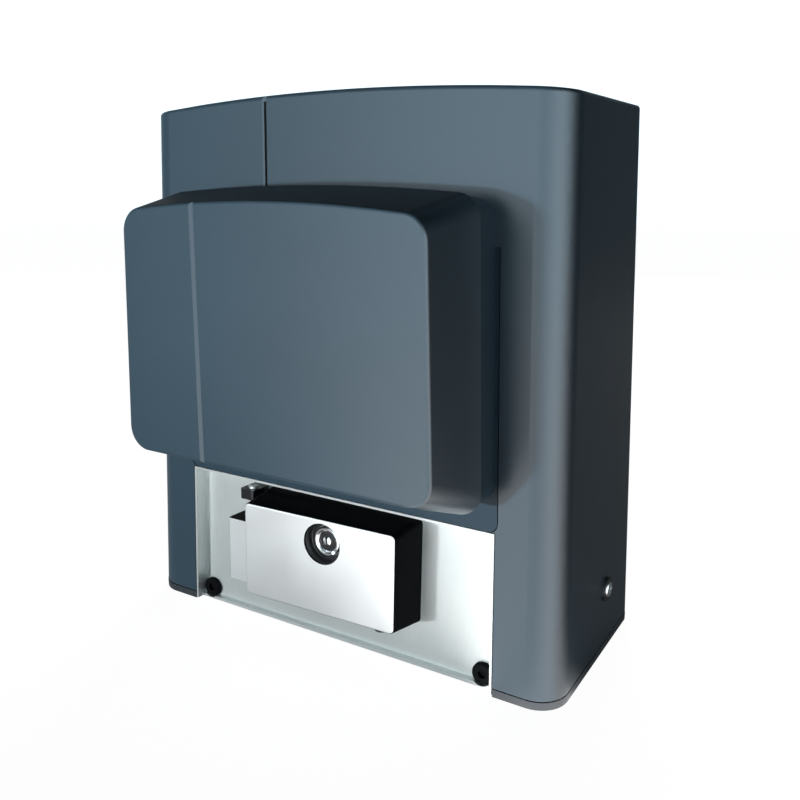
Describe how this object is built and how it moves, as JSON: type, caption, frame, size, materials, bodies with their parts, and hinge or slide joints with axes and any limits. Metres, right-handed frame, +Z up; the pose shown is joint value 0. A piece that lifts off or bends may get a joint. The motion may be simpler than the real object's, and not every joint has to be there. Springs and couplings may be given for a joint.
{
  "type": "sliding gate motor",
  "caption": "Gear motor for a sliding gate: tall drafted cover, control box on its front, lockable release door on a metal plate, drive pinion at the back.",
  "frame": {"origin": "centre of the four foot bolt holes, on the underside of the foot", "axes": "+Z up, +Y towards the pinion and the gate, -Y towards the control box and release door, +X to the right as seen from the front"},
  "size_m": [0.322, 0.2313, 0.348],
  "materials": {
    "cover_grey": "satin",
    "box_grey": "satin",
    "plinth_grey": "matt",
    "plate_metal": "brushed",
    "door_metal": "satin",
    "lock_chrome": "polished",
    "black_plastic": "satin",
    "black_steel": "satin",
    "zinc_steel": "satin",
    "cast_metal": "cast",
    "bronze": "machined",
    "steel": "machined",
    "core_steel": "laminated",
    "copper": "enamelled",
    "rubber": "matt",
    "board_green": "satin",
    "terminal_green": "satin",
    "relay_blue": "gloss",
    "can_metal": "satin",
    "can_sleeve": "gloss"
  },
  "bodies": {
    "housing": {"board_screws": "zinc_steel", "box_screws": "zinc_steel", "box_seal": "rubber", "button_frames": "black_plastic", "casing_cover": "cast_metal", "casing_screws": "zinc_steel", "control_board": "board_green", "control_box_base": "cover_grey", "control_box_cover": "box_grey", "front_plate": "plate_metal", "gear_casing": "cast_metal", "hinge_bracket": "black_steel", "hinge_pin": "zinc_steel", "levelling_nuts": "zinc_steel", "levelling_screws": "zinc_steel", "limit_housing": "black_plastic", "lower_bell": "cast_metal", "main_cover": "cover_grey", "microswitches": "relay_blue", "motor_bearings": "steel", "oil_plug": "bronze", "output_bearings": "steel", "plate_screws": "black_steel", "plinth": "plinth_grey", "relays": "relay_blue", "run_capacitor": "can_metal", "shaft_seal": "rubber", "side_screws": "zinc_steel", "side_washers": "black_plastic", "smoothing_capacitors": "can_sleeve", "stator_core": "core_steel", "terminal_blocks": "terminal_green", "tie_bolts": "zinc_steel", "transformer_coil": "copper", "transformer_core": "core_steel", "upper_bell": "cast_metal", "windings": "copper"},
    "door": {"release_door": "door_metal", "door_stops": "rubber", "lock_body": "lock_chrome", "lock_nut": "zinc_steel"},
    "lock": {"lock_plug": "lock_chrome", "lock_tongue": "zinc_steel"},
    "output": {"output_shaft": "steel", "pinion": "zinc_steel", "pinion_key": "steel", "pinion_washer": "zinc_steel", "pinion_screw": "zinc_steel", "clutch_spring": "zinc_steel"},
    "clutch": {"clutch_ring": "steel", "clutch_pin": "steel", "release_rod": "zinc_steel"},
    "wheel": {"worm_wheel": "bronze", "wheel_hub": "steel"},
    "rotor": {"rotor_shaft": "steel", "rotor_core": "core_steel", "worm": "steel"},
    "striker": {"limit_striker": "zinc_steel"},
    "button_1": {"program_button_1": "black_plastic"},
    "button_2": {"program_button_2": "black_plastic"}
  },
  "joints": [
    {"name": "door_hinge", "type": "hinge", "parent": "housing", "child": "door", "pos_m": [-0.061, -0.06764, 0.06003], "axis": [0, -0.0393, -0.9992], "range_deg": [0, 95]},
    {"name": "lock_turn", "type": "hinge", "parent": "door", "child": "lock", "pos_m": [0.0103, -0.07815, 0.07906], "axis": [0, 0.9992, -0.0393], "range_deg": [0, 90]},
    {"name": "rotor_spin", "type": "hinge", "parent": "housing", "child": "rotor", "pos_m": [0.027, 0.009, 0.1], "axis": [0, 0, 1], "continuous": true},
    {"name": "wheel_spin", "type": "hinge", "parent": "housing", "child": "wheel", "pos_m": [-0.022, 0.009, 0.082], "axis": [0, 1, 0], "continuous": true},
    {"name": "output_spin", "type": "hinge", "parent": "housing", "child": "output", "pos_m": [-0.022, 0.03, 0.082], "axis": [0, 1, 0], "continuous": true},
    {"name": "clutch_slide", "type": "slide", "parent": "output", "child": "clutch", "axis": [0, -1, 0], "range_m": [0, 0.0055], "deforming": ["clutch_spring"]},
    {"name": "striker_swing", "type": "hinge", "parent": "housing", "child": "striker", "pos_m": [-0.05, 0.07, 0.154], "axis": [0, 1, 0], "range_deg": [-25, 25], "stiffness_Nm_per_rad": 0.3},
    {"name": "button_1_press", "type": "slide", "parent": "housing", "child": "button_1", "axis": [0, 0.9992, -0.0393], "range_m": [0, 0.0008], "stiffness_N_per_m": 800},
    {"name": "button_2_press", "type": "slide", "parent": "housing", "child": "button_2", "axis": [0, 0.9992, -0.0393], "range_m": [0, 0.0008], "stiffness_N_per_m": 800}
  ],
  "couplings": [
    {"joint": "wheel_spin", "follows": "rotor_spin", "ratio": 0.025},
    {"joint": "output_spin", "follows": "rotor_spin", "ratio": 0.025},
    {"joint": "clutch_slide", "follows": "door_hinge", "m_per_rad": 0.0033}
  ]
}
